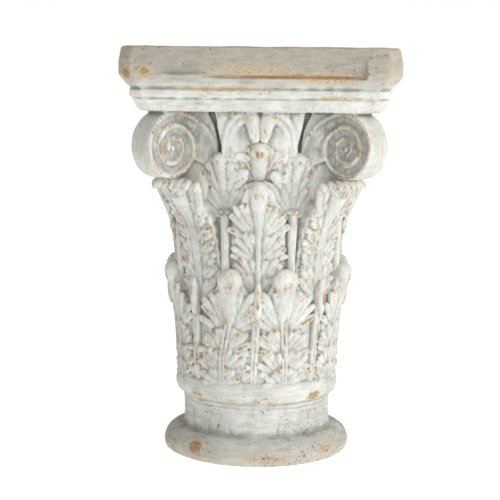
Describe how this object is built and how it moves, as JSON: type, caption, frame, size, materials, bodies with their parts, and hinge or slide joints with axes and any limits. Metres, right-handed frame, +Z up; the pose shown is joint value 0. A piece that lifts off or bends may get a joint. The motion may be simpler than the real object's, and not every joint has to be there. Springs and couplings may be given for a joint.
{
  "type": "plinth",
  "caption": "Plinth in the shape of a carved column capital, with acanthus leaves and corner volutes under a square top, on a round neck and foot.",
  "frame": {"origin": "centre of the round underside", "axes": "+Z up along the axis of the neck, -Y towards the front face"},
  "size_m": [0.388, 0.388, 0.6],
  "materials": {
    "whitewash": "chalky off-white wash over a cast body, grey in the hollows and rubbed back to ochre on edges and leaf tips"
  },
  "bodies": {
    "root": {"plinth": "whitewash"}
  },
  "joints": []
}
